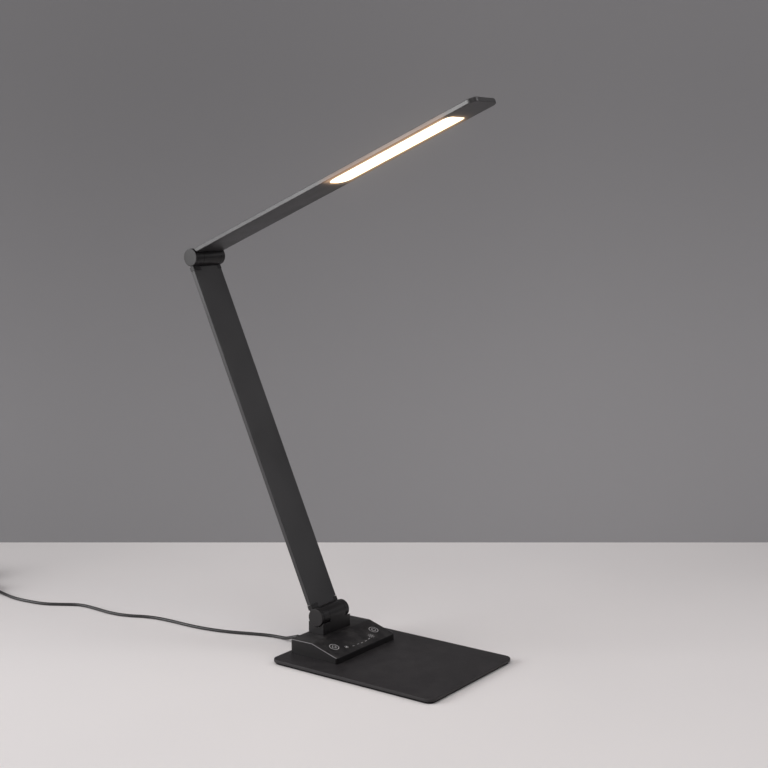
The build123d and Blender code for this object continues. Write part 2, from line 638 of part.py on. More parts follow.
with BuildPart() as head_lug:
    with BuildSketch(side(LUG[1])):
        with Locations((E[0], E[1])):
            Circle(HINGE_R)
        with BuildLine():
            Polyline(*quad(0.0, HEAD_START, HEAD_U + 0.05, HEAD_TOP - 0.05, head_xz), close=True)
        make_face()
    extrude(amount=LUG[1] - LUG[0])
    with BuildSketch(side(13.9)):
        with BuildLine():
            Polyline(*quad(HEAD_START - 1.0, LUG_TONGUE_END, HEAD_U + 1.0, HEAD_U + 3.4, head_xz), close=True)
        make_face()
    extrude(amount=23.3)
    with BuildSketch(side(LUG[1])):
        with Locations((E[0], E[1])):
            Circle(LUG_BORE_R)
    extrude(amount=LUG[1] - LUG[0], mode=Mode.SUBTRACT)
    with BuildSketch(side(LUG[1])):
        with Locations((E[0], E[1])):
            Circle(6.6)
    extrude(amount=0.6, mode=Mode.SUBTRACT)
    with BuildSketch(side(LUG[0] + 0.6)):
        with Locations((E[0], E[1])):
            Circle(6.6)
    extrude(amount=0.6, mode=Mode.SUBTRACT)
    for s, y in HEAD_SCREWS:
        with Locations(head_face(HEAD_U + 0.9, s, y)):
            Cylinder(1.48, 3.0, align=LOW, mode=Mode.SUBTRACT)
head_lug.part.label = "head_lug"
export_step(head_lug.part, "parts/head_lug.step")

with BuildPart() as head_screws:
    for s, y in HEAD_SCREWS:
        with Locations(head_face(HEAD_TOP - 3.2, s, y)):
            Cylinder(1.45, 3.2, align=LOW)
        with Locations(head_face(HEAD_TOP - 0.8, s, y)):
            Cone(1.45, 2.4, 0.8, align=LOW)
        with BuildSketch(head_face(HEAD_TOP, s, y)):       # hexagon socket
            RegularPolygon(radius=0.85, side_count=6, major_radius=False)
        extrude(amount=-0.6, mode=Mode.SUBTRACT)
head_screws.part.label = "head_screws"
export_step(head_screws.part, "parts/head_screws.step")

# light stack, from the pocket's floor down to the opening
with BuildPart() as reflector:
    with BuildSketch(head_face(T_POCKET - 0.2)):
        panel_outline(0.15)
    extrude(amount=0.2)
reflector.part.label = "reflector"
export_step(reflector.part, "parts/reflector.step")

STRIP_Y = PANEL_W / 2 - 0.2
with BuildPart() as light_guide:
    with BuildSketch(head_face(T_DIFF + 0.8)):
        with Locations(((PANEL_S0 + PANEL_S1) / 2 + 3.5, -1.2)):
            Rectangle(PANEL_S1 - PANEL_S0 - 19.0, PANEL_W - 3.4)
    extrude(amount=T_POCKET - 0.2 - T_DIFF - 0.8)
light_guide.part.label = "light_guide"
export_step(light_guide.part, "parts/light_guide.step")

with BuildPart() as led_strip:
    with BuildSketch(head_face(T_DIFF + 0.8)):
        with Locations(((PANEL_S0 + PANEL_S1) / 2 + 3.5, STRIP_Y - 0.4)):
            Rectangle(PANEL_S1 - PANEL_S0 - 21.0, 0.8)
    extrude(amount=T_POCKET - 0.2 - T_DIFF - 0.8)
led_strip.part.label = "led_strip"
export_step(led_strip.part, "parts/led_strip.step")

LED_N = 23
with BuildPart() as led_chips:
    with BuildSketch(head_face(T_DIFF + 0.95)):
        with Locations(((PANEL_S0 + PANEL_S1) / 2 + 3.5, STRIP_Y - 1.1)):
            with GridLocations(5.4, 1.0, LED_N, 1):
                Rectangle(3.0, 0.55)
    extrude(amount=1.1)
led_chips.part.label = "led_chips"
export_step(led_chips.part, "parts/led_chips.step")

with BuildPart() as diffuser:
    with BuildSketch(head_face(T_DIFF)):
        panel_outline(0.1)
    extrude(amount=0.8)
diffuser.part.label = "diffuser"
export_step(diffuser.part, "parts/diffuser.step")

with BuildPart() as head_lead:
    x0, z0 = head_xz(LUG_TONGUE_END + 2.0, 0)
    with BuildSketch(Plane(origin=(x0, 0, z0), x_dir=(0, 1, 0), z_dir=(DH[0], 0, DH[1]))):
        with Locations((2.0, HEAD_U + 2.25)):
            SlotOverall(3.6, 1.5)
    extrude(amount=PANEL_S0 - LUG_TONGUE_END - 2.0 - 2.0)
head_lead.part.label = "head_lead"
export_step(head_lead.part, "parts/head_lead.step")

# ===========================================================================
# CORD AND ADAPTER
# ===========================================================================

# from the strain relief's tip down to the table and along it, out to the coil
CORD_ROUTE = [
    (RELIEF_TIP_X, EXIT_Y, EXIT_Z),
    (-115.0, -11.9, 6.0),
    (-122.5, -9.9, 2.9),
    (-131.5, -8.2, CORD_Z),
    (-146.0, -10.2, CORD_Z),
    (-164.4, -17.2, CORD_Z),
    (-184.5, -25.9, CORD_Z),
    (-207.5, -31.9, CORD_Z),
    (-233.0, -34.9, CORD_Z),
    (-260.5, -34.6, CORD_Z),
    (-286.5, -37.4, CORD_Z),
    (-310.0, -49.6, CORD_Z),
    (-332.5, -53.2, CORD_Z),
    (-356.0, -51.4, CORD_Z),
    (-379.0, -51.3, CORD_Z),
    (-396.5, -63.0, CORD_Z),
    (-412.5, -72.8, CORD_Z),
    (-433.5, -76.6, CORD_Z),
    (-456.5, -78.2, CORD_Z),
    (-480.0, -74.0, CORD_Z),
    (-499.0, -69.5, CORD_Z),
    (-514.0, -67.7, CORD_Z),
]
cord_radii = fillet_radii(CORD_ROUTE)
print("power_cord radii (mm):", [round(r, 1) for r in cord_radii])
with BuildPart() as power_cord:
    with BuildLine() as cord_path:
        FilletPolyline(*CORD_ROUTE, radius=cord_radii)
    with BuildSketch(Plane(origin=cord_path.line @ 0, z_dir=cord_path.line % 0)):
        Circle(CORD_D / 2)
    sweep()
power_cord.part.label = "power_cord"
export_step(power_cord.part, "parts/power_cord.step")
cord_len = sum(e.length for e in cord_path.edges())
print("power_cord length %.1f mm, volume %.1f, section x length %.1f"
      % (cord_len, power_cord.part.volume, math.pi * CORD_D ** 2 / 4 * cord_len))

# the put-away length, wound in a neat round coil: its outer shape
coil_z1 = CORD_Z + (COIL_LAYERS - 1) * CORD_D + CORD_D / 2
with BuildPart() as cord_coil:
    with BuildSketch(Plane(origin=(COIL_C[0], COIL_C[1], 0), x_dir=(1, 0, 0), z_dir=(0, -1, 0))):
        with Locations(((COIL_R[0] + COIL_R[-1]) / 2, (0.05 + coil_z1) / 2)):
            RectangleRounded(COIL_R[-1] - COIL_R[0] + CORD_D, coil_z1 - 0.05, 1.5)
    revolve(axis=Axis((COIL_C[0], COIL_C[1], 0), (0, 0, 1)))
cord_coil.part.label = "cord_coil"
export_step(cord_coil.part, "parts/cord_coil.step")
coil_len = COIL_LAYERS * 2 * math.pi * sum(COIL_R)

TAIL_Z = coil_z1 - CORD_D / 2
RELIEF2_X = ADAPT_X0 + 14.0
TAIL_ROUTE = [(COIL_C[0] - 4.0, ADAPT_Y, TAIL_Z), (-536.0, ADAPT_Y, TAIL_Z + 0.5), (RELIEF2_X, ADAPT_Y, ADAPT_Z)]
tail_radii = fillet_radii(TAIL_ROUTE)
print("cord_tail radii (mm):", [round(r, 1) for r in tail_radii])
with BuildPart() as cord_tail:
    with BuildLine() as tail_path:
        FilletPolyline(*TAIL_ROUTE, radius=tail_radii)
    with BuildSketch(Plane(origin=tail_path.line @ 0, z_dir=tail_path.line % 0)):
        Circle(CORD_D / 2)
    sweep()
cord_tail.part.label = "cord_tail"
export_step(cord_tail.part, "parts/cord_tail.step")
print("cord total about %.0f mm" % (cord_len + coil_len + sum(e.length for e in tail_path.edges())))

# adapter: two shells, strain relief, two pins, board with its transformer
with BuildPart() as adapter_relief:
    with BuildSketch(Plane(origin=(0, ADAPT_Y, ADAPT_Z), x_dir=(1, 0, 0), z_dir=(0, -1, 0))):
        with BuildLine():
            Polyline((RELIEF2_X, 0.0), (RELIEF2_X, 2.1), (ADAPT_X0 + 1.0, 4.0), (ADAPT_X0 + 0.02, 4.0),
                     (ADAPT_X0 + 0.02, 3.0), (ADAPT_X0 - 1.9, 3.0), (ADAPT_X0 - 1.9, 4.2), (ADAPT_X0 - 3.2, 4.2),
                     (ADAPT_X0 - 3.2, 0.0), close=True)
        make_face()
    revolve(axis=Axis((0, ADAPT_Y, ADAPT_Z), (1, 0, 0)))
adapter_relief.part.label = "adapter_relief"
export_step(adapter_relief.part, "parts/adapter_relief.step")


def adapter_across(x):
    """Plane across the adapter, facing +X."""
    return Plane(origin=(x, ADAPT_Y, ADAPT_Z), x_dir=(0, 1, 0), z_dir=(1, 0, 0))


with BuildPart() as adapter_rear_shell:
    with BuildSketch(adapter_across(ADAPT_SPLIT)):
        RectangleRounded(ADAPT_W, ADAPT_H, 4.0)
    extrude(amount=ADAPT_X0 - ADAPT_SPLIT)
    fillet(adapter_rear_shell.faces().sort_by(Axis.X)[-1].edges(), 2.0)
    with BuildSketch(adapter_across(ADAPT_SPLIT)):
        RectangleRounded(ADAPT_W - 3.6, ADAPT_H - 3.6, 2.4)
    extrude(amount=ADAPT_X0 - ADAPT_SPLIT - 1.8, mode=Mode.SUBTRACT)
    with BuildSketch(Plane(origin=(ADAPT_X0 + 1.0, ADAPT_Y, ADAPT_Z), x_dir=(0, 1, 0), z_dir=(-1, 0, 0))):
        Circle(3.05)
    extrude(amount=4.0, mode=Mode.SUBTRACT)
adapter_rear_shell.part.label = "adapter_rear_shell"
export_step(adapter_rear_shell.part, "parts/adapter_rear_shell.step")

PIN_SPREAD = 18.6
with BuildPart() as adapter_front_shell:
    with BuildSketch(adapter_across(ADAPT_X1)):
        RectangleRounded(ADAPT_W, ADAPT_H, 4.0)
    extrude(amount=ADAPT_SPLIT - ADAPT_X1)
    fillet(adapter_front_shell.faces().sort_by(Axis.X)[0].edges(), 1.5)
    with BuildSketch(adapter_across(ADAPT_X1 + 1.8)):
        RectangleRounded(ADAPT_W - 3.6, ADAPT_H - 3.6, 2.4)
    extrude(amount=ADAPT_SPLIT - ADAPT_X1 - 1.8, mode=Mode.SUBTRACT)
    for dy in (-PIN_SPREAD / 2, PIN_SPREAD / 2):
        with BuildSketch(Plane(origin=(ADAPT_X1 - 1.0, ADAPT_Y + dy, ADAPT_Z), x_dir=(0, 1, 0), z_dir=(1, 0, 0))):
            Circle(2.03)
        extrude(amount=4.0, mode=Mode.SUBTRACT)
adapter_front_shell.part.label = "adapter_front_shell"
export_step(adapter_front_shell.part, "parts/adapter_front_shell.step")

with BuildPart() as adapter_pins:
    for dy in (-PIN_SPREAD / 2, PIN_SPREAD / 2):
        with BuildSketch(Plane(origin=(ADAPT_X1 + 6.0, ADAPT_Y + dy, ADAPT_Z), x_dir=(0, 1, 0), z_dir=(-1, 0, 0))):
            Circle(2.0)
        extrude(amount=25.0)
    fillet(adapter_pins.faces().filter_by(Axis.X).sort_by(Axis.X)[:2].edges(), 1.4)
adapter_pins.part.label = "adapter_pins"
export_step(adapter_pins.part, "parts/adapter_pins.step")

with BuildPart() as adapter_board:
    with BuildSketch(Plane.XY.offset(ADAPT_Z - 6.6)):
        with Locations(((ADAPT_X0 + ADAPT_X1) / 2, ADAPT_Y)):
            Rectangle(38.0, 31.0)
    extrude(amount=1.2)
    with BuildSketch(Plane.XY.offset(ADAPT_Z - 5.4)):
        with Locations(((ADAPT_X0 + ADAPT_X1) / 2 + 2.0, ADAPT_Y)):
            Rectangle(16.0, 18.0)
        with Locations(((ADAPT_X0 + ADAPT_X1) / 2 + 15.0, ADAPT_Y - 8.0)):
            Circle(3.2)
    extrude(amount=13.0)
adapter_board.part.label = "adapter_board"
export_step(adapter_board.part, "parts/adapter_board.step")
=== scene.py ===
import math
import bpy
import bmesh
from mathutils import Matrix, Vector


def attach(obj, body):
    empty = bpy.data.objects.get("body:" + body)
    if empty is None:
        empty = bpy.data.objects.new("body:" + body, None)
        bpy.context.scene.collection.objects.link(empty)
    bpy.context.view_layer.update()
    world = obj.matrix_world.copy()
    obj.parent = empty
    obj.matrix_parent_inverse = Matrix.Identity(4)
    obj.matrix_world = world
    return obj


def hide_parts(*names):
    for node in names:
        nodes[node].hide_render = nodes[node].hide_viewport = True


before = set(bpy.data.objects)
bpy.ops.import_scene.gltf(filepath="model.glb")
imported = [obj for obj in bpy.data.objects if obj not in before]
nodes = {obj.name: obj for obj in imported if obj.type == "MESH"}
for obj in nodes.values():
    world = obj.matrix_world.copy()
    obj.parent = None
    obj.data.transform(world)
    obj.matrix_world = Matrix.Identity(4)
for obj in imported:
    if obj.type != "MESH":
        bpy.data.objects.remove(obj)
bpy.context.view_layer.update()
scene = bpy.context.scene

# ---------------------------------------------------------------------------
# Shared places of the lamp, in metres
# ---------------------------------------------------------------------------
HINGE = (-0.076, 0.0356)                 # lower hinge axis, X and Z
ELBOW = (-0.2340711, 0.3800627)          # elbow axis, X and Z
LEAN = math.radians(24.65)               # arm, back from upright
RISE = math.radians(22.68)               # head, above level
DH = (math.cos(RISE), math.sin(RISE))    # along the head
NH = (-math.sin(RISE), math.cos(RISE))   # out of the head's top
SLOPE = math.atan(8.9 / 30.6)            # fall of the touch panel
LIGHT_S, LIGHT_HALF = 0.25665, 0.07465   # the light opening's middle along the head, and half its length


def head_point(s, y, t):
    """A point of the head: s along it from the elbow axis, t out of its top, in metres."""
    return Vector((ELBOW[0] + DH[0] * s + NH[0] * t, y, ELBOW[1] + DH[1] * s + NH[1] * t))


def panel_point(x, y, u=0.0, v=0.0, h=0.0):
    """A point of the sloping touch panel: u down the slope and v across from the place x, y, h above it."""
    px = x + u * math.cos(SLOPE) + h * math.sin(SLOPE)
    pz = 0.0196 - math.tan(SLOPE) * (x + 0.061) - u * math.sin(SLOPE) + h * math.cos(SLOPE)
    return Vector((px, y + v, pz))


# ---------------------------------------------------------------------------
# Camera
# ---------------------------------------------------------------------------
cam_data = bpy.data.cameras.new("camera")
cam_data.sensor_width = 36.0
cam_data.lens = 64.64
cam_data.clip_start = 0.01
cam_data.clip_end = 50.0
camera = bpy.data.objects.new("camera", cam_data)
camera.location = (0.73754, -1.02966, 0.44891)
camera.rotation_euler = (math.radians(90.0 - 8.085), 0.0, math.radians(35.968))
scene.collection.objects.link(camera)
scene.camera = camera

# ---------------------------------------------------------------------------
# Power cord: one line from the strain relief along the table, through the
# put-away coil, to the adapter
# ---------------------------------------------------------------------------
CORD_D = 0.0032
CORD_POINTS = [
    (-0.1076, -0.0120, 0.0082), (-0.1150, -0.0119, 0.0060), (-0.1225, -0.0099, 0.0029),
    (-0.1315, -0.0082, 0.00165), (-0.1460, -0.0102, 0.00165), (-0.1644, -0.0172, 0.00165),
    (-0.1845, -0.0259, 0.00165), (-0.2075, -0.0319, 0.00165), (-0.2330, -0.0349, 0.00165),
    (-0.2605, -0.0346, 0.00165), (-0.2865, -0.0374, 0.00165), (-0.3100, -0.0496, 0.00165),
    (-0.3325, -0.0532, 0.00165), (-0.3560, -0.0514, 0.00165), (-0.3790, -0.0513, 0.00165),
    (-0.3965, -0.0630, 0.00165), (-0.4125, -0.0728, 0.00165), (-0.4335, -0.0766, 0.00165),
    (-0.4565, -0.0782, 0.00165), (-0.4800, -0.0740, 0.00165), (-0.4990, -0.0695, 0.00165),
    (-0.5140, -0.0677, 0.00165),
]
# the coil: three turns side by side in each of four layers, wound out-in-out
COIL_X, COIL_Y = -0.5220, -0.0887
RINGS = (0.0210, 0.0178, 0.0146)
STEPS = 18                                # points in a turn
SPREAD = 1.0 / (0.75 + 0.25 * math.cos(2 * math.pi / STEPS))
turns = []
for layer in range(4):
    z = 0.00165 + 0.0032 * layer
    rings = RINGS if layer % 2 == 0 else RINGS[::-1]
    for ring in rings:
        turns.append((ring, z))
for i, (ring, z) in enumerate(turns):
    ring_next, z_next = turns[min(i + 1, len(turns) - 1)]
    for k in range(STEPS):
        a = (k + 0.5) / STEPS             # share of the turn
        # a layer is climbed just before the place where a turn steps to the next radius
        rise = min(1.0, max(0.0, (a - 0.80) / 0.10))
        step = min(1.0, max(0.0, (a - 0.90) / 0.10))
        r = (ring + (ring_next - ring) * step) * SPREAD
        h = z + (z_next - z) * rise
        angle = math.pi / 2 + 2 * math.pi * a
        CORD_POINTS.append((COIL_X + r * math.cos(angle), COIL_Y + r * math.sin(angle), h))
CORD_POINTS += [(-0.5262, -0.0677, 0.01125), (-0.5360, -0.0677, 0.01175), (-0.5425, -0.0677, 0.0126), (-0.5466, -0.0677, 0.0130)]

cord_data = bpy.data.curves.new("supply_cord", "CURVE")
cord_data.dimensions = "3D"
cord_data.resolution_u = 8
cord_data.bevel_depth = 1.0               # the points' own radius gives the thickness, which keeps the curve's box tight
cord_data.bevel_resolution = 5
cord_data.use_fill_caps = True
line = cord_data.splines.new("NURBS")
line.points.add(len(CORD_POINTS) - 1)
for p, co in zip(line.points, CORD_POINTS):
    p.co = (*co, 1.0)
    p.radius = CORD_D / 2
line.order_u = 3
line.use_endpoint_u = True
supply_cord = bpy.data.objects.new("supply_cord", cord_data)
scene.collection.objects.link(supply_cord)
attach(supply_cord, "base")
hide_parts("power_cord", "cord_coil", "cord_tail")


def coil_tie():
    """A hook-and-loop strap round the coil's turns, with its free end lapped over the top."""
    bm = bmesh.new()
    angle = math.radians(215)
    out = Vector((math.cos(angle), math.sin(angle), 0.0))          # from the coil's middle
    along = Vector((-math.sin(angle), math.cos(angle), 0.0))
    r0, r1, z0, z1, corner = 0.0128, 0.0228, 0.0003, 0.0130, 0.0018
    mid, thick, half = Vector((COIL_X, COIL_Y, 0.0)), 0.0007, 0.0035

    def ring(grow, z_low):
        points = []
        for cx, cz, a0 in ((r1 - corner, z1 - corner, 0), (r0 + corner, z1 - corner, 90), (r0 + corner, z0 + corner, 180), (r1 - corner, z0 + corner, 270)):
            for k in range(7):
                a = math.radians(a0 + 15 * k)
                points.append((cx + (corner + grow) * math.cos(a), max(z_low, cz + (corner + grow) * math.sin(a))))
        return points

    sides = []
    for w, grow in ((-half, 0.6), (-half * 0.86, 1.0), (half * 0.86, 1.0), (half, 0.6)):
        sides.append([bm.verts.new(mid + out * r + along * w + Vector((0, 0, z))) for r, z in ring(thick * grow, 0.00002)])
    inner = [[bm.verts.new(mid + out * r + along * w + Vector((0, 0, z))) for r, z in ring(0.0, 0.0003)] for w in (-half, half)]
    loops = [inner[0]] + sides + [inner[1]]
    for a, b in zip(loops, loops[1:] + loops[:1]):
        for i in range(len(a)):
            j = (i + 1) % len(a)
            bm.faces.new((a[i], a[j], b[j], b[i]))
    # the lapped end: a thin rounded tab on top
    tab, n = [], 24
    for level, shrink in ((z1 + 0.0004, 1.0), (z1 + thick + 0.0006, 1.0), (z1 + thick + 0.0009, 0.90)):
        row = []
        for k in range(n):
            a = 2 * math.pi * k / n
            u = math.copysign(abs(math.cos(a)) ** 0.4, math.cos(a)) * 0.0036 * shrink
            w = math.copysign(abs(math.sin(a)) ** 0.4, math.sin(a)) * half * 0.98 * shrink
            row.append(bm.verts.new(mid + out * ((r0 + r1) / 2 + 0.0006 + u) + along * w + Vector((0, 0, level))))
        tab.append(row)
    for a, b in zip(tab, tab[1:]):
        for i in range(n):
            j = (i + 1) % n
            bm.faces.new((a[i], a[j], b[j], b[i]))
    bm.faces.new(tab[0][::-1])
    bm.faces.new(tab[-1])
    bmesh.ops.recalc_face_normals(bm, faces=bm.faces)
    mesh = bpy.data.meshes.new("coil_tie")
    bm.to_mesh(mesh)
    bm.free()
    o = bpy.data.objects.new("coil_tie", mesh)
    scene.collection.objects.link(o)
    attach(o, "base")
    return o


tie = coil_tie()

# ---------------------------------------------------------------------------
# Materials
# ---------------------------------------------------------------------------


class Graph:
    """Shorthand for building one material's nodes."""

    def __init__(self, name):
        self.mat = bpy.data.materials.new(name)
        self.mat.use_nodes = True
        self.tree = self.mat.node_tree
        self.tree.nodes.clear()
        self.out = self.add("ShaderNodeOutputMaterial")
        self.shader = self.add("ShaderNodeBsdfPrincipled")
        self.link(self.shader.outputs[0], self.out.inputs[0])
        self.coord = self.add("ShaderNodeTexCoord").outputs["Object"]

    def add(self, kind, **props):
        n = self.tree.nodes.new(kind)
        for k, v in props.items():
            setattr(n, k, v)
        return n

    def link(self, a, b):
        self.tree.links.new(a, b)

    def mapped(self, turn=(0, 0, 0), scale=(1, 1, 1), source=None):
        m = self.add("ShaderNodeMapping")
        m.inputs["Rotation"].default_value = turn
        m.inputs["Scale"].default_value = scale
        self.link(source or self.coord, m.inputs["Vector"])
        return m.outputs[0]

    def noise(self, vector, scale, detail=3.0, rough=0.55, distortion=0.0):
        n = self.add("ShaderNodeTexNoise")
        n.inputs["Scale"].default_value = scale
        n.inputs["Detail"].default_value = detail
        n.inputs["Roughness"].default_value = rough
        n.inputs["Distortion"].default_value = distortion
        self.link(vector, n.inputs["Vector"])
        return n.outputs["Fac"]

    def span(self, value, a, b, lo, hi, smooth=False):
        m = self.add("ShaderNodeMapRange")
        if smooth:
            m.interpolation_type = "SMOOTHSTEP"
        m.inputs["From Min"].default_value = a
        m.inputs["From Max"].default_value = b
        m.inputs["To Min"].default_value = lo
        m.inputs["To Max"].default_value = hi
        self.link(value, m.inputs["Value"])
        return m.outputs["Result"]

    def math(self, op, a, b=0.0, c=0.0, clamp=False):
        m = self.add("ShaderNodeMath", operation=op, use_clamp=clamp)
        for i, v in enumerate((a, b, c)):
            if hasattr(v, "is_linked"):
                self.link(v, m.inputs[i])
            else:
                m.inputs[i].default_value = v
        return m.outputs[0]

    def mix(self, fac, a, b, blend="MIX"):
        m = self.add("ShaderNodeMix", data_type="RGBA", blend_type=blend)
        for i, v in ((0, fac), (6, a), (7, b)):
            if hasattr(v, "is_linked"):
                self.link(v, m.inputs[i])
            elif i == 0:
                m.inputs[i].default_value = v
            else:
                m.inputs[i].default_value = (*v, 1.0)
        return m.outputs[2]

    def bump(self, height, distance, strength=1.0, normal=None):
        b = self.add("ShaderNodeBump")
        b.inputs["Distance"].default_value = distance
        b.inputs["Strength"].default_value = strength
        self.link(height, b.inputs["Height"])
        if normal is not None:
            self.link(normal, b.inputs["Normal"])
        return b.outputs[0]

    def split(self, vector):
        s = self.add("ShaderNodeSeparateXYZ")
        self.link(vector, s.inputs[0])
        return s.outputs

    def edges(self, radius):
        """The rounded normal, and a mask that is 1 on outside edges and fades over radius."""
        bevel = self.add("ShaderNodeBevel", samples=6)
        bevel.inputs["Radius"].default_value = radius
        geo = self.add("ShaderNodeNewGeometry")
        dot = self.add("ShaderNodeVectorMath", operation="DOT_PRODUCT")
        self.link(bevel.outputs[0], dot.inputs[0])
        self.link(geo.outputs["Normal"], dot.inputs[1])
        return bevel.outputs[0], self.span(dot.outputs["Value"], 0.985, 0.86, 0.0, 1.0)


def finish_surface(g, base, rough, metallic=0.0, specular=0.5, turn=(0, 0, 0), stretch=(1, 1, 1),
                   blotch=25.0, vary=0.16, rough_vary=0.07, grain=900.0, grain_depth=0.00002,
                   speck=4200.0, speck_depth=0.000006, wear=0.35, wear_color=None, edge=0.00025,
                   dust=0.0, tint=(1.0, 1.0, 1.0)):
    """Colour, gloss and relief that all the hard finishes share: slow blotches, a fine grain, a finer speck,
    rounded and slightly rubbed edges, and a trace of dust on faces that look up."""
    v = g.mapped(turn, stretch)
    slow = g.noise(g.coord, blotch, 3.0, 0.6, 0.4)
    fine = g.noise(v, grain, 2.0, 0.5)
    speck_n = g.noise(v, speck, 1.0, 0.5)
    normal, edge_mask = g.edges(edge)
    dark = tuple(c * (1 - vary) for c in base)
    light = tuple(c * (1 + vary) * t for c, t in zip(base, tint))
    color = g.mix(g.span(slow, 0.32, 0.68, 0.0, 1.0), dark, light)
    color = g.mix(g.span(speck_n, 0.55, 0.8, 0.0, 0.35), color, tuple(min(1, c * 1.9 + 0.004) for c in base))
    rub = g.math("MULTIPLY", edge_mask, g.span(g.noise(g.coord, 160.0, 3.0, 0.6), 0.35, 0.72, 0.15, 1.0))
    rub = g.math("MULTIPLY", rub, wear)
    color = g.mix(rub, color, wear_color or tuple(min(1, c * 3.2 + 0.03) for c in base))
    r = g.math("ADD", g.span(slow, 0.3, 0.7, rough - rough_vary, rough + rough_vary),
               g.span(fine, 0.3, 0.7, -0.03, 0.03))
    r = g.math("SUBTRACT", r, g.math("MULTIPLY", rub, 0.12), clamp=True)
    if dust:
        up = g.split(g.add("ShaderNodeTexCoord").outputs["Normal"])[2]
        lint = g.math("MULTIPLY", g.span(up, 0.75, 0.98, 0.0, 1.0),
                      g.span(g.noise(g.coord, 70.0, 5.0, 0.7), 0.42, 0.78, 0.0, dust))
        color = g.mix(lint, color, (0.32, 0.31, 0.30))
        r = g.math("ADD", r, g.math("MULTIPLY", lint, 0.6), clamp=True)
    height = g.math("ADD", g.math("MULTIPLY", fine, 1.0),
                    g.math("MULTIPLY", speck_n, speck_depth / max(grain_depth, 1e-9)))
    n = g.bump(height, grain_depth, 1.0, normal)
    g.link(color, g.shader.inputs["Base Color"])
    g.link(r, g.shader.inputs["Roughness"])
    g.link(n, g.shader.inputs["Normal"])
    g.shader.inputs["Metallic"].default_value = metallic
    g.shader.inputs["Specular IOR Level"].default_value = specular
    return g, color, r, n


def plain(name, *args, **kw):
    return finish_surface(Graph(name), *args, **kw)[0].mat


def housing_material():
    """Textured satin plastic, with a painted highlight: a pale line along its two long top rims."""
    g = Graph("housing_textured_plastic")
    g, color, rough, normal = finish_surface(g, (0.0085, 0.0074, 0.0080), 0.42, specular=0.27, grain=2600.0, grain_depth=0.000022,
                                             blotch=30.0, wear=0.6, wear_color=(0.075, 0.071, 0.075), dust=0.17, vary=0.10,
                                             edge=0.0003)
    x, y, z = g.split(g.coord)
    flat = g.math("ADD", g.math("MULTIPLY", g.math("ADD", x, 0.0876), 0.4 / 26.6), 0.0192)
    slope = g.math("SUBTRACT", 0.0196, g.math("MULTIPLY", g.math("ADD", x, 0.061), 8.9 / 30.6))
    below = g.math("SUBTRACT", z, g.math("MINIMUM", flat, slope))
    # painted highlight: a pale line just under the top along the two long rims, where the rounded edge catches the
    # light
    rim = g.math("MULTIPLY", g.span(below, -0.00060, -0.00025, 0.0, 1.0), g.span(g.math("ABSOLUTE", y), 0.04575, 0.04605, 0.0, 1.0))
    rim = g.math("MULTIPLY", rim, g.span(g.noise(g.coord, 90.0), 0.3, 0.7, 0.85, 1.0))
    g.link(g.mix(rim, color, (0.205, 0.196, 0.203)), g.shader.inputs["Base Color"])
    return g.mat


M = {"control_housing": housing_material()}
M["base_plate"] = plain("plate_powder_coat", (0.0150, 0.0130, 0.0142), 0.50, specular=0.42, grain=1100.0, grain_depth=0.000018,
                        blotch=14.0, wear=0.16, edge=0.0002, dust=0.05, vary=0.10)
M["base_pad"] = plain("pad_foam", (0.006, 0.006, 0.006), 0.92, specular=0.1, grain=1500.0, grain_depth=0.00012, wear=0.1)
for n in ("base_bracket", "lower_fork", "upper_fork", "head_lug", "near_hinge_caps", "far_hinge_caps"):
    M[n] = plain(n + "_satin_paint", (0.0066, 0.0056, 0.0062), 0.36, specular=0.37, grain=1700.0, grain_depth=0.000014,
                 blotch=60.0, wear=0.40, vary=0.12, edge=0.00022)

# anodised extrusions: a faint drawn grain runs along the bar
M["arm_bar"] = plain("arm_black_anodised", (0.0165, 0.0155, 0.0168), 0.36, specular=0.53, turn=(0, LEAN, 0),
                     stretch=(1.0, 1.0, 0.035), grain=2300.0, grain_depth=0.000007, speck=5200.0,
                     speck_depth=0.000003, blotch=16.0, wear=0.45, vary=0.10, edge=0.0003)


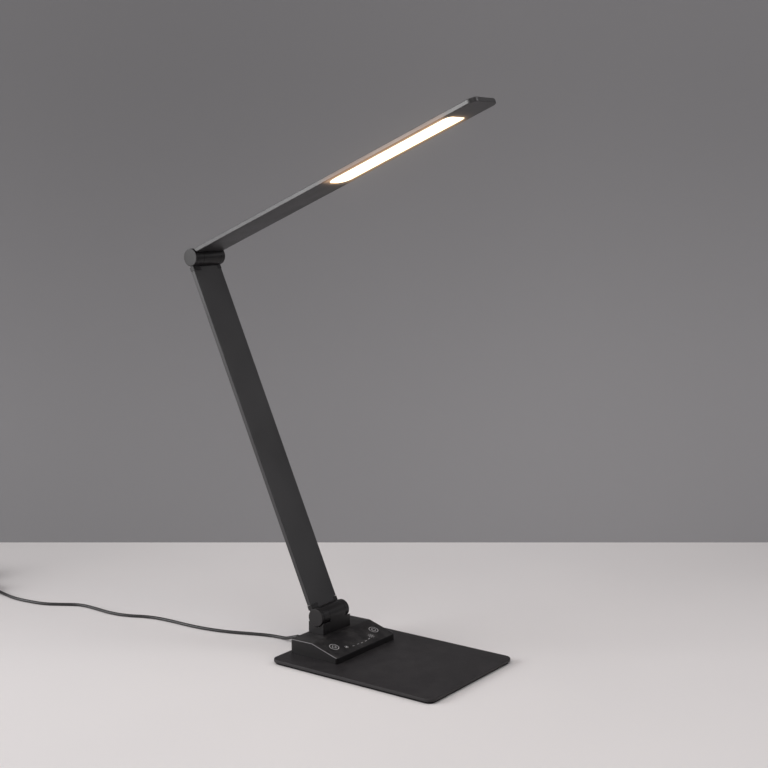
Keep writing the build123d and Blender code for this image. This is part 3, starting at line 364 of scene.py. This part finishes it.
def head_material():
    """The head's anodising, with a painted warm glow (emission) on its margin and long sides beside the opening,
    standing in for light spilling from it.
    """
    g = Graph("head_black_anodised")
    finish_surface(g, (0.0165, 0.0155, 0.0168), 0.34, specular=0.68, turn=(0, RISE, 0), stretch=(0.035, 1.0, 1.0),
                   grain=2300.0, grain_depth=0.000007, speck=5200.0, speck_depth=0.000003, blotch=16.0,
                   wear=0.45, vary=0.10, edge=0.0003)
    x, y, z = g.split(g.coord)
    dx, dz = g.math("SUBTRACT", x, ELBOW[0]), g.math("SUBTRACT", z, ELBOW[1])
    s = g.math("ADD", g.math("MULTIPLY", dx, DH[0]), g.math("MULTIPLY", dz, DH[1]))
    t = g.math("ADD", g.math("MULTIPLY", dx, NH[0]), g.math("MULTIPLY", dz, NH[1]))
    # distance outside the opening, a rounded rectangle about its middle
    qs = g.math("SUBTRACT", g.math("ABSOLUTE", g.math("SUBTRACT", s, LIGHT_S)), LIGHT_HALF - 0.010)
    qy = g.math("SUBTRACT", g.math("ABSOLUTE", y), 0.0152 - 0.010)
    qs, qy = g.math("MAXIMUM", qs, 0.0), g.math("MAXIMUM", qy, 0.0)
    d = g.math("SUBTRACT", g.math("SQRT", g.math("ADD", g.math("MULTIPLY", qs, qs), g.math("MULTIPLY", qy, qy))), 0.010)
    d = g.math("MAXIMUM", d, 0.0)

    def fall(reach):
        return g.math("POWER", 2.718, g.math("MULTIPLY", d, -1.0 / reach))

    # painted glow: warm emission on the underside margin round the opening, strongest beside its near long side
    from_mid = g.math("SUBTRACT", s, LIGHT_S)
    beside = g.span(g.math("ABSOLUTE", from_mid), LIGHT_HALF - 0.007, LIGHT_HALF + 0.001, 1.0, 0.0, smooth=True)
    near_side = g.math("MULTIPLY", g.span(y, -0.0150, -0.0115, 1.0, 0.0, smooth=True), beside)
    far_side = g.math("MULTIPLY", g.span(y, 0.0115, 0.0150, 0.0, 1.0, smooth=True), beside)
    ends = g.math("MULTIPLY", g.span(from_mid, -0.05, 0.05, 0.15, 0.27), fall(0.0022))
    painted_near_glow = g.math("MULTIPLY", near_side, g.math("ADD", 0.36, g.math("MULTIPLY", fall(0.0020), 0.15)))
    painted_far_glow = g.math("MULTIPLY", far_side, g.math("ADD", 0.12, g.math("MULTIPLY", fall(0.0012), 0.14)))
    painted_end_glow = g.math("MULTIPLY", ends, g.math("SUBTRACT", 1.0, g.math("MAXIMUM", near_side, far_side)))
    painted_spill_glow = g.math("ADD", g.math("ADD", painted_near_glow, painted_far_glow), painted_end_glow)
    painted_spill_glow = g.math("MULTIPLY", painted_spill_glow, g.span(t, 0.00262, 0.0030, 1.0, 0.0))
    painted_spill_glow = g.math("MULTIPLY", painted_spill_glow, g.span(g.noise(g.coord, 60.0), 0.3, 0.7, 0.92, 1.08))
    # painted glow: warm emission on the long side faces next to the opening
    edge = g.math("MULTIPLY", g.span(g.math("ABSOLUTE", y), 0.0196, 0.0199, 0.0, 1.0), g.span(t, 0.0026, 0.0070, 0.20, 0.05))
    edge = g.math("MULTIPLY", edge, g.span(g.math("ABSOLUTE", from_mid), LIGHT_HALF - 0.012, LIGHT_HALF + 0.006, 1.0, 0.0, smooth=True))
    # the painted glow of margin and sides, used as the emission colour
    painted_glow = g.mix(1.0, g.mix(painted_spill_glow, (0.0, 0.0, 0.0), (1.0, 0.61, 0.36)), g.mix(edge, (0.0, 0.0, 0.0), (1.0, 0.43, 0.13)), "ADD")
    g.link(painted_glow, g.shader.inputs["Emission Color"])
    g.shader.inputs["Emission Strength"].default_value = 1.0
    return g.mat


M["head_bar"] = head_material()
M["arm_screws"] = M["head_screws"] = plain("black_oxide", (0.020, 0.020, 0.021), 0.36, metallic=0.6, grain=2600.0,
                                           grain_depth=0.00001, wear=0.6, wear_color=(0.20, 0.20, 0.20), edge=0.00015)
for n in ("housing_screws", "bracket_screws", "hinge_bolts", "hinge_nuts", "disc_springs"):
    M[n] = plain(n + "_zinc", (0.56, 0.56, 0.58), 0.32, metallic=1.0, grain=2200.0, grain_depth=0.00001, blotch=240.0,
                 vary=0.08, wear=0.3, wear_color=(0.75, 0.75, 0.76), edge=0.00015)
for n in ("lower_friction_washers", "upper_friction_washers"):
    M[n] = plain(n + "_brass", (0.66, 0.47, 0.22), 0.30, metallic=1.0, grain=2200.0, grain_depth=0.00001, blotch=240.0,
                 wear=0.2, wear_color=(0.85, 0.66, 0.36), edge=0.00015)


def cord_material(name, base=(0.0165, 0.0155, 0.0162), rough=0.42):
    g = Graph(name)
    finish_surface(g, base, rough, specular=0.5, grain=700.0, grain_depth=0.00003, speck=3000.0, speck_depth=0.000008,
                   blotch=55.0, wear=0.15, vary=0.14, edge=0.0002, dust=0.05)
    return g.mat


M["cord_grommet"] = cord_material("relief_rubber", rough=0.55)
M["adapter_relief"] = cord_material("adapter_relief_rubber", rough=0.55)
for n in ("power_lead", "arm_lead", "head_lead", "power_cord", "cord_coil", "cord_tail"):
    M[n] = cord_material(n + "_jacket")


def board_material(name):
    """Green solder mask with faint tracks and gold pads."""
    g = Graph(name)
    v = g.mapped((0, 0, 0), (1, 1, 1))
    tracks = g.add("ShaderNodeTexBrick")
    tracks.inputs["Scale"].default_value = 160.0
    tracks.inputs["Mortar Size"].default_value = 0.06
    tracks.inputs["Color1"].default_value = (0.010, 0.085, 0.035, 1)
    tracks.inputs["Color2"].default_value = (0.014, 0.105, 0.043, 1)
    tracks.inputs["Mortar"].default_value = (0.028, 0.165, 0.070, 1)
    g.link(v, tracks.inputs["Vector"])
    n = g.noise(g.coord, 900.0)
    g.link(g.mix(g.span(n, 0.62, 0.70, 0.0, 0.6), tracks.outputs["Color"], (0.60, 0.45, 0.16)), g.shader.inputs["Base Color"])
    g.link(g.span(n, 0.3, 0.7, 0.30, 0.48), g.shader.inputs["Roughness"])
    g.link(g.bump(tracks.outputs["Fac"], 0.00003), g.shader.inputs["Normal"])
    return g.mat


for n in ("touch_board", "led_strip", "adapter_board"):
    M[n] = board_material(n + "_mask")
M["touch_pads"] = plain("contact_foam", (0.05, 0.05, 0.05), 0.9, grain=1600.0, grain_depth=0.0001)
M["reflector"] = plain("white_reflector", (0.86, 0.86, 0.84), 0.7, grain=1200.0, grain_depth=0.00001, vary=0.04)
M["light_guide"] = plain("clear_guide", (0.82, 0.84, 0.84), 0.12, grain=500.0, grain_depth=0.00001, vary=0.03)
M["light_guide"].node_tree.nodes["Principled BSDF"].inputs["Transmission Weight"].default_value = 0.9


def chip_material():
    g = Graph("led_phosphor")
    n = g.noise(g.coord, 1500.0)
    g.link(g.mix(g.span(n, 0.35, 0.65, 0.0, 1.0), (0.85, 0.60, 0.16), (0.95, 0.74, 0.28)), g.shader.inputs["Base Color"])
    g.link(g.span(n, 0.3, 0.7, 0.25, 0.4), g.shader.inputs["Roughness"])
    g.link(g.mix(g.span(n, 0.3, 0.7, 0.0, 1.0), (1.0, 0.80, 0.48), (1.0, 0.88, 0.62)), g.shader.inputs["Emission Color"])
    g.shader.inputs["Emission Strength"].default_value = 4.0
    g.link(g.bump(n, 0.00003), g.shader.inputs["Normal"])
    return g.mat


M["led_chips"] = chip_material()


def diffuser_material():
    """Opal sheet, lit from one long edge: a little warmer and dimmer away from the lamps and at its rim."""
    g = Graph("opal_diffuser")
    x, y, z = g.split(g.coord)
    s = g.math("ADD", g.math("MULTIPLY", g.math("SUBTRACT", x, ELBOW[0]), DH[0]),
               g.math("MULTIPLY", g.math("SUBTRACT", z, ELBOW[1]), DH[1]))
    across = g.span(y, -0.0152, 0.0152, 0.0, 1.0)
    ends = g.math("ABSOLUTE", g.math("SUBTRACT", s, LIGHT_S))
    rim = g.math("MAXIMUM", g.span(ends, LIGHT_HALF - 0.005, LIGHT_HALF, 0.0, 1.0),
                 g.span(g.math("ABSOLUTE", y), 0.0125, 0.0152, 0.0, 1.0))
    cells = g.noise(g.coord, 420.0, 1.0, 0.5)
    level = g.math("ADD", g.span(across, 0.0, 1.0, 0.90, 1.0), g.span(cells, 0.3, 0.7, -0.02, 0.02))
    warm = g.mix(rim, (1.0, 0.80, 0.52), (1.0, 0.62, 0.28))
    lit = g.mix(1.0, (0.0, 0.0, 0.0), warm)
    dimmed = g.add("ShaderNodeVectorMath", operation="SCALE")
    g.link(lit, dimmed.inputs[0])
    g.link(g.math("MULTIPLY", level, g.span(rim, 0.0, 1.0, 1.0, 0.62)), dimmed.inputs["Scale"])
    g.link(dimmed.outputs[0], g.shader.inputs["Emission Color"])
    g.shader.inputs["Emission Strength"].default_value = 3.4
    g.link(g.mix(g.span(cells, 0.3, 0.7, 0.0, 1.0), (0.80, 0.76, 0.68), (0.86, 0.82, 0.74)), g.shader.inputs["Base Color"])
    g.link(g.span(cells, 0.3, 0.7, 0.45, 0.6), g.shader.inputs["Roughness"])
    g.link(g.bump(cells, 0.00002), g.shader.inputs["Normal"])
    return g.mat


M["diffuser"] = diffuser_material()
for n in ("adapter_rear_shell", "adapter_front_shell"):
    M[n] = plain(n + "_plastic", (0.0150, 0.0148, 0.0150), 0.48, specular=0.45, grain=2400.0, grain_depth=0.00003,
                 blotch=40.0, wear=0.35, dust=0.04, vary=0.10)


def pin_material():
    """Nickel pins, each with a black insulating sleeve next to the adapter."""
    g = Graph("nickel_pins")
    finish_surface(g, (0.66, 0.62, 0.55), 0.22, metallic=1.0, grain=2000.0, grain_depth=0.000006, blotch=300.0,
                   vary=0.06, wear=0.2, wear_color=(0.8, 0.76, 0.7), edge=0.0002)
    x = g.split(g.coord)[0]
    sleeve = g.span(x, -0.6222, -0.6219, 0.0, 1.0)
    old = [l for l in g.tree.links if l.to_socket == g.shader.inputs["Base Color"]][0].from_socket
    g.link(g.mix(sleeve, old, (0.016, 0.016, 0.016)), g.shader.inputs["Base Color"])
    g.link(g.math("SUBTRACT", 1.0, sleeve), g.shader.inputs["Metallic"])
    return g.mat


M["adapter_pins"] = pin_material()

for name, obj in nodes.items():
    mat = M[name]
    obj.data.materials.clear()
    obj.data.materials.append(mat)
    for poly in obj.data.polygons:
        poly.material_index = 0
M["supply_cord"] = cord_material("supply_cord_jacket")
cord_data.materials.append(M["supply_cord"])


def strap_material():
    """Black hook-and-loop tape: a matte fuzzy face."""
    g = Graph("hook_and_loop")
    fuzz = g.noise(g.coord, 2600.0, 2.0, 0.7)
    g.link(g.mix(g.span(fuzz, 0.3, 0.7, 0.0, 1.0), (0.010, 0.010, 0.011), (0.030, 0.029, 0.031)), g.shader.inputs["Base Color"])
    g.link(g.span(fuzz, 0.3, 0.7, 0.80, 0.95), g.shader.inputs["Roughness"])
    g.shader.inputs["Sheen Weight"].default_value = 0.3
    g.link(g.bump(fuzz, 0.00015), g.shader.inputs["Normal"])
    return g.mat


tie.data.materials.append(strap_material())


# ---------------------------------------------------------------------------
# Printed touch marks on the sloping panel
# ---------------------------------------------------------------------------

def mark_material():
    g = Graph("pad_print")
    n = g.noise(g.coord, 2600.0)
    g.link(g.mix(g.span(n, 0.3, 0.7, 0.0, 1.0), (0.42, 0.41, 0.415), (0.52, 0.51, 0.515)), g.shader.inputs["Base Color"])
    g.link(g.span(n, 0.3, 0.7, 0.5, 0.65), g.shader.inputs["Roughness"])
    g.link(g.bump(n, 0.000008), g.shader.inputs["Normal"])
    return g.mat


MARK = mark_material()
INK = 0.00003                             # thickness of the print


class Marks:
    """Thin raised outlines on the panel, all in one mesh."""

    def __init__(self, name):
        self.name, self.bm = name, bmesh.new()

    def strip(self, x, y, path, width, closed=False):
        """A line of that width along path, a list of (u, v)."""
        n = len(path)
        left, right = [], []
        for i, (u, v) in enumerate(path):
            a = path[(i - 1) % n] if closed or i > 0 else path[i]
            b = path[(i + 1) % n] if closed or i < n - 1 else path[i]
            du, dv = b[0] - a[0], b[1] - a[1]
            length = math.hypot(du, dv) or 1.0
            nu, nv = -dv / length * width / 2, du / length * width / 2
            left.append((u + nu, v + nv))
            right.append((u - nu, v - nv))
        lo = [[self.bm.verts.new(panel_point(x, y, u, v, -0.00002)) for u, v in side] for side in (left, right)]
        hi = [[self.bm.verts.new(panel_point(x, y, u, v, INK)) for u, v in side] for side in (left, right)]
        count = n if closed else n - 1
        for i in range(count):
            j = (i + 1) % n
            self.bm.faces.new((hi[0][i], hi[0][j], hi[1][j], hi[1][i]))
            self.bm.faces.new((lo[0][i], lo[1][i], lo[1][j], lo[0][j]))
            self.bm.faces.new((hi[0][i], lo[0][i], lo[0][j], hi[0][j]))
            self.bm.faces.new((hi[1][i], hi[1][j], lo[1][j], lo[1][i]))
        if not closed:
            for i in (0, n - 1):
                self.bm.faces.new((hi[0][i], hi[1][i], lo[1][i], lo[0][i]))

    def ring(self, x, y, radius, width, a0=0.0, a1=360.0, steps=40, u=0.0, v=0.0):
        closed = a1 - a0 >= 360.0
        count = steps if closed else steps + 1
        path = [(u + radius * math.cos(math.radians(a0 + (a1 - a0) * i / steps)),
                 v + radius * math.sin(math.radians(a0 + (a1 - a0) * i / steps))) for i in range(count)]
        self.strip(x, y, path, width, closed)

    def disc(self, x, y, radius, steps=24, u=0.0, v=0.0):
        self.ring(x, y, radius / 2, radius, steps=steps, u=u, v=v)

    def done(self):
        bmesh.ops.recalc_face_normals(self.bm, faces=self.bm.faces)
        mesh = bpy.data.meshes.new(self.name)
        self.bm.to_mesh(mesh)
        self.bm.free()
        mesh.materials.append(MARK)
        o = bpy.data.objects.new(self.name, mesh)
        scene.collection.objects.link(o)
        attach(o, "base")
        return o


mode = Marks("mode_mark")                 # ring with a lozenge in it
mode.ring(-0.0459, -0.0311, 0.0046, 0.00058)
mode.strip(-0.0459, -0.0311, [(-0.0024, 0.0), (0.0, -0.0026), (0.0024, 0.0), (0.0, 0.0026)], 0.00065, closed=True)
mode.done()

dim = Marks("dim_mark")                   # small sun
dim.disc(-0.0396, -0.0199, 0.0009)
for k in range(8):
    a = math.radians(45 * k)
    dim.strip(-0.0396, -0.0199, [(0.0014 * math.cos(a), 0.0014 * math.sin(a)), (0.0021 * math.cos(a), 0.0021 * math.sin(a))], 0.0004)
dim.done()

steps = Marks("level_marks")              # five dashes that grow along an arc
for x, y, size in ((-0.0374, -0.0118, 0.8), (-0.0372, -0.0047, 0.9), (-0.0367, 0.0007, 1.05), (-0.0367, 0.0072, 1.2), (-0.0378, 0.0139, 1.4)):
    tilt = (y - 0.0022) / 0.055
    du, dv = -math.sin(tilt), math.cos(tilt)
    half = 0.00135
    steps.strip(x, y, [(-du * half, -dv * half), (du * half, dv * half)], 0.0005 * size)
steps.done()

bright = Marks("bright_mark")             # larger sun
bright.ring(-0.0401, 0.0204, 0.0013, 0.0005)
for k in range(8):
    a = math.radians(45 * k)
    bright.strip(-0.0401, 0.0204, [(0.0022 * math.cos(a), 0.0022 * math.sin(a)), (0.0034 * math.cos(a), 0.0034 * math.sin(a))], 0.0005)
bright.done()

power = Marks("power_mark")               # ring with an on-off sign
power.ring(-0.0463, 0.0327, 0.0046, 0.00058)
power.ring(-0.0463, 0.0327, 0.0022, 0.0006, a0=215.0, a1=505.0, steps=30)
power.strip(-0.0463, 0.0327, [(-0.0028, 0.0), (-0.0004, 0.0)], 0.0006)
power.done()

# ---------------------------------------------------------------------------
# Floor, backdrop and light
# ---------------------------------------------------------------------------
YAW = math.radians(35.968)
FORWARD = Vector((-math.sin(YAW), math.cos(YAW), 0.0))    # level, away from the camera
ACROSS = Vector((math.cos(YAW), math.sin(YAW), 0.0))      # level, to the image's right
EDGE = 1.7185                                             # from the camera to the floor's far edge
foot = Vector((camera.location.x, camera.location.y, 0.0))
far = foot + FORWARD * EDGE


def stage_plane(name, corners, mat):
    mesh = bpy.data.meshes.new(name)
    mesh.from_pydata([tuple(c) for c in corners], [], [(0, 1, 2, 3)])
    mesh.materials.append(mat)
    o = bpy.data.objects.new(name, mesh)
    scene.collection.objects.link(o)
    return o


def floor_material():
    g = Graph("pale_floor")
    n = g.noise(g.coord, 2.5, 2.0)
    paper = g.mix(g.span(n, 0.3, 0.7, 0.0, 1.0), (0.835, 0.805, 0.803), (0.865, 0.832, 0.826))
    # painted shade: a little darker towards the far edge and its two ends
    x, y, z = g.split(g.coord)
    dx, dy = g.math("SUBTRACT", x, far.x), g.math("SUBTRACT", y, far.y)
    depth = g.math("ADD", g.math("MULTIPLY", dx, FORWARD.x), g.math("MULTIPLY", dy, FORWARD.y))
    side = g.math("ADD", g.math("MULTIPLY", dx, ACROSS.x), g.math("MULTIPLY", dy, ACROSS.y))
    far_shade = g.span(depth, -0.55, -0.02, 1.0, 0.90, smooth=True)
    ends = g.span(side, -0.50, -0.12, 0.84, 1.0, smooth=True)
    ends = g.math("MULTIPLY", ends, g.span(side, 0.12, 0.50, 1.0, 0.90, smooth=True))
    far_part = g.span(depth, -0.45, -0.05, 0.0, 1.0, smooth=True)
    ends = g.math("ADD", 1.0, g.math("MULTIPLY", far_part, g.math("SUBTRACT", ends, 1.0)))
    shade = g.add("ShaderNodeVectorMath", operation="SCALE")
    g.link(paper, shade.inputs[0])
    g.link(g.math("MULTIPLY", far_shade, ends), shade.inputs["Scale"])
    g.link(shade.outputs[0], g.shader.inputs["Base Color"])
    g.link(g.span(n, 0.3, 0.7, 0.6, 0.7), g.shader.inputs["Roughness"])
    g.shader.inputs["Specular IOR Level"].default_value = 0.2
    return g.mat


def wall_material():
    """Grey studio paper, seen and lit from its front only, with painted light: lighter towards its foot and towards the
    right.
    """
    g = Graph("grey_backdrop")
    n = g.noise(g.coord, 1.5, 2.0)
    paper = g.mix(g.span(n, 0.3, 0.7, 0.0, 1.0), (0.203, 0.200, 0.206), (0.211, 0.208, 0.214))
    x, y, z = g.split(g.coord)
    side = g.math("ADD", g.math("MULTIPLY", g.math("SUBTRACT", x, far.x), ACROSS.x), g.math("MULTIPLY", g.math("SUBTRACT", y, far.y), ACROSS.y))
    # painted light: the paper's colour is scaled lighter towards its foot and towards the right
    painted_light_falloff = g.math("MULTIPLY", g.span(z, 0.02, 0.62, 1.29, 0.82, smooth=True), g.span(side, -0.45, 0.35, 0.92, 1.19, smooth=True))
    shade = g.add("ShaderNodeVectorMath", operation="SCALE")
    g.link(paper, shade.inputs[0])
    g.link(painted_light_falloff, shade.inputs["Scale"])
    g.link(shade.outputs[0], g.shader.inputs["Base Color"])
    g.shader.inputs["Roughness"].default_value = 0.9
    g.shader.inputs["Specular IOR Level"].default_value = 0.1
    geo = g.add("ShaderNodeNewGeometry")
    clear = g.add("ShaderNodeBsdfTransparent")
    mix = g.add("ShaderNodeMixShader")
    g.link(geo.outputs["Backfacing"], mix.inputs[0])
    g.link(g.shader.outputs[0], mix.inputs[1])
    g.link(clear.outputs[0], mix.inputs[2])
    g.link(mix.outputs[0], g.out.inputs[0])
    return g.mat


near = foot - FORWARD * 4.0
floor = stage_plane("floor", [near - ACROSS * 5, near + ACROSS * 5, foot + FORWARD * 6 + ACROSS * 5, foot + FORWARD * 6 - ACROSS * 5], floor_material())
wall = stage_plane("backdrop", [far - ACROSS * 4, far + ACROSS * 4, far + ACROSS * 4 + Vector((0, 0, 2.6)), far - ACROSS * 4 + Vector((0, 0, 2.6))],
                   wall_material())
wall.visible_shadow = False


def area(name, place, target, size, power, color=(1.0, 1.0, 1.0), spread=180.0):
    data = bpy.data.lights.new(name, "AREA")
    data.shape = "RECTANGLE"
    data.size, data.size_y = size
    data.energy = power
    data.color = color
    data.spread = math.radians(spread)
    o = bpy.data.objects.new(name, data)
    o.location = place
    o.rotation_euler = (Vector(target) - Vector(place)).to_track_quat("-Z", "Y").to_euler()
    scene.collection.objects.link(o)
    return o


centre = Vector((-0.15, 0.0, 0.25))
area("overhead", (0.35, -0.95, 2.2), (0.15, -0.5, 0.0), (2.4, 2.0), 21.0, (1.0, 0.98, 0.975))
area("left_front", (-1.79, -2.02, 1.02), (-0.15, 0.0, 0.45), (2.0, 1.45), 62.0, (1.0, 0.995, 1.0))
area("right_rear", centre + Vector((1.35, 0.80, 0.80)), centre + Vector((0, 0, 0.05)), (0.7, 0.9), 5.0, (1.0, 0.99, 1.0))

world = bpy.data.worlds.new("studio")
world.use_nodes = True
world.node_tree.nodes["Background"].inputs[0].default_value = (0.62, 0.61, 0.62, 1.0)
world.node_tree.nodes["Background"].inputs[1].default_value = 0.35
scene.world = world

# a lens's slight bloom round the lit panel
scene.use_nodes = True
tree = scene.node_tree
tree.nodes.clear()
layers = tree.nodes.new("CompositorNodeRLayers")
glare = tree.nodes.new("CompositorNodeGlare")
glare.glare_type = "BLOOM"
glare.quality = "HIGH"
glare.inputs["Threshold"].default_value = 1.05
glare.inputs["Smoothness"].default_value = 0.1
glare.inputs["Strength"].default_value = 0.10
glare.inputs["Size"].default_value = 0.25
done = tree.nodes.new("CompositorNodeComposite")
tree.links.new(layers.outputs["Image"], glare.inputs["Image"])
tree.links.new(glare.outputs["Image"], done.inputs["Image"])

scene.view_settings.view_transform = "Standard"
scene.view_settings.look = "None"
scene.view_settings.exposure = 0.0
scene.view_settings.gamma = 1.0
